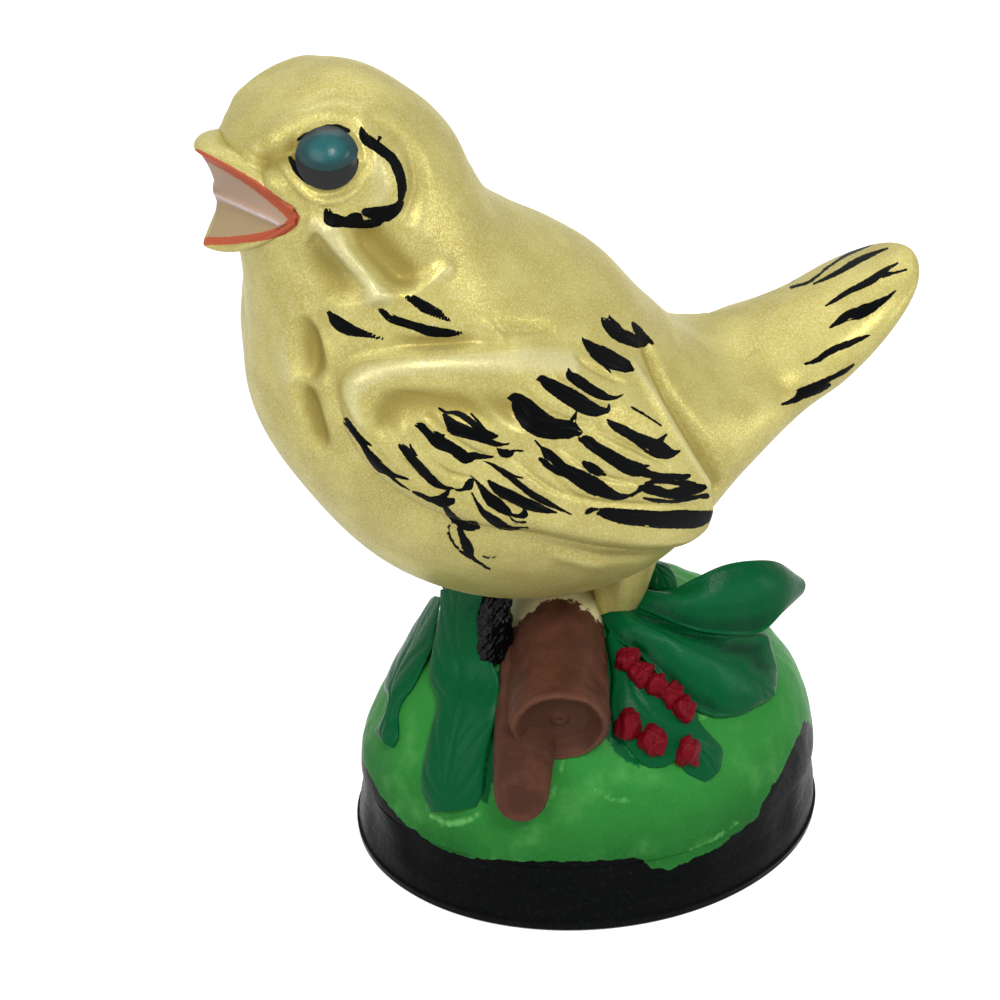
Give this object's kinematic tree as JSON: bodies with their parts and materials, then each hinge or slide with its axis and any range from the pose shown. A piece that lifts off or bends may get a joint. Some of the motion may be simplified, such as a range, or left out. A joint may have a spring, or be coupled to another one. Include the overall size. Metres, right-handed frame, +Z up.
{
  "type": "ceramic bird figurine",
  "caption": "Hand-painted hollow ceramic songbird with open beak, perched on a cut log over a leafy mound with berries and a black plinth; stands on a shelf as an ornament.",
  "frame": {"origin": "middle of the figurine's outline box on the surface that the plinth stands on", "axes": "+Z up, -X the way the bird faces, -Y the bird's left side"},
  "size_m": [0.0936, 0.055, 0.1105],
  "materials": {
    "pearl_gold": "satin pearl gold brush paint over fired clay, with black dry-brushed feather strokes",
    "black_paint": "satin black paint over fired clay",
    "meadow_green": "satin bright green paint over fired clay",
    "leaf_green": "satin dark green paint with paler dry-brushed ridges",
    "bark_brown": "satin brown paint over fired clay",
    "berry_red": "satin red paint",
    "eye_teal": "gloss teal paint",
    "mouth_cream": "satin cream paint with orange-red lip line"
  },
  "bodies": {
    "root": {"plinth": "black_paint", "mound": "meadow_green", "main_log": "bark_brown", "side_branch": "bark_brown", "bird_body": "pearl_gold", "tail": "pearl_gold", "wing_left": "pearl_gold", "eye_left": "eye_teal", "leg_left": "pearl_gold", "foot_left": "black_paint", "wing_right": "pearl_gold", "eye_right": "eye_teal", "leg_right": "pearl_gold", "foot_right": "black_paint", "beak_upper": "pearl_gold", "beak_lower": "pearl_gold", "mouth_lining": "mouth_cream", "leaf_front": "leaf_green", "leaf_side": "leaf_green", "leaf_berry": "leaf_green", "leaf_broad": "leaf_green", "leaf_curled": "leaf_green", "leaf_back": "leaf_green", "berry_1": "berry_red", "berry_2": "berry_red", "berry_3": "berry_red", "berry_4": "berry_red", "berry_5": "berry_red", "berry_6": "berry_red", "berry_7": "berry_red", "berry_8": "berry_red"}
  },
  "joints": []
}
